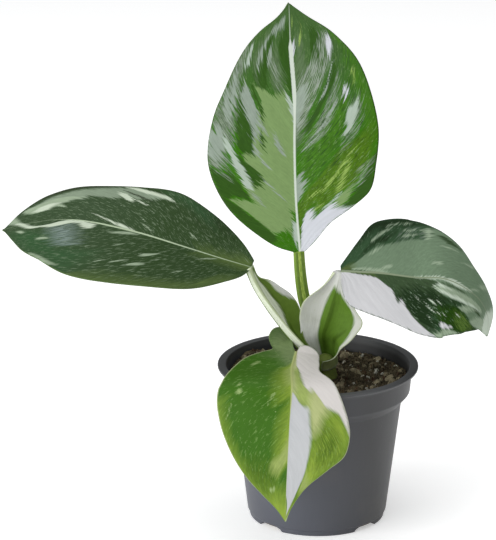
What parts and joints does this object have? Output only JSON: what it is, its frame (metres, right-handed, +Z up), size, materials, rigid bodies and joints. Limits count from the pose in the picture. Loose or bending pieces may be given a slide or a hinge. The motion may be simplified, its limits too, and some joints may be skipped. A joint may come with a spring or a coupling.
{
  "type": "potted philodendron",
  "caption": "Young variegated houseplant: broad green and white leaves on winged stalks round a short stem, rooted in soil in a round tapered nursery pot.",
  "frame": {"origin": "centre of the pot's flat underside, on the surface that the pot stands on", "axes": "+Z up along the pot's axis; -Y towards the side that the front leaf hangs over; +X towards the arching right leaf"},
  "size_m": [0.2957, 0.1371, 0.3069],
  "materials": {
    "pot_plastic": "satin dark grey moulded plastic",
    "soil_mix": "matt dark peat and bark crumbs with pale perlite",
    "stem_green": "satin olive green plant skin",
    "stalk_white": "satin cream white plant skin with green streaks",
    "stalk_green": "satin light green plant skin",
    "leaf_green": "semi-gloss bright green with sage and white sectors",
    "leaf_dark": "semi-gloss dark green with pale flecks and a cream midrib",
    "leaf_sage": "semi-gloss dark green and sage with a white half",
    "leaf_lime": "semi-gloss lime green with a white centre stripe"
  },
  "bodies": {
    "root": {"nursery_pot": "pot_plastic", "potting_soil": "soil_mix", "stem": "stem_green", "petiole_top": "stalk_green", "petiole_left": "stalk_white", "petiole_right": "stalk_white", "petiole_front": "stalk_white", "leaf_top": "leaf_green", "leaf_left": "leaf_dark", "leaf_right": "leaf_sage", "leaf_front": "leaf_lime"}
  },
  "joints": []
}
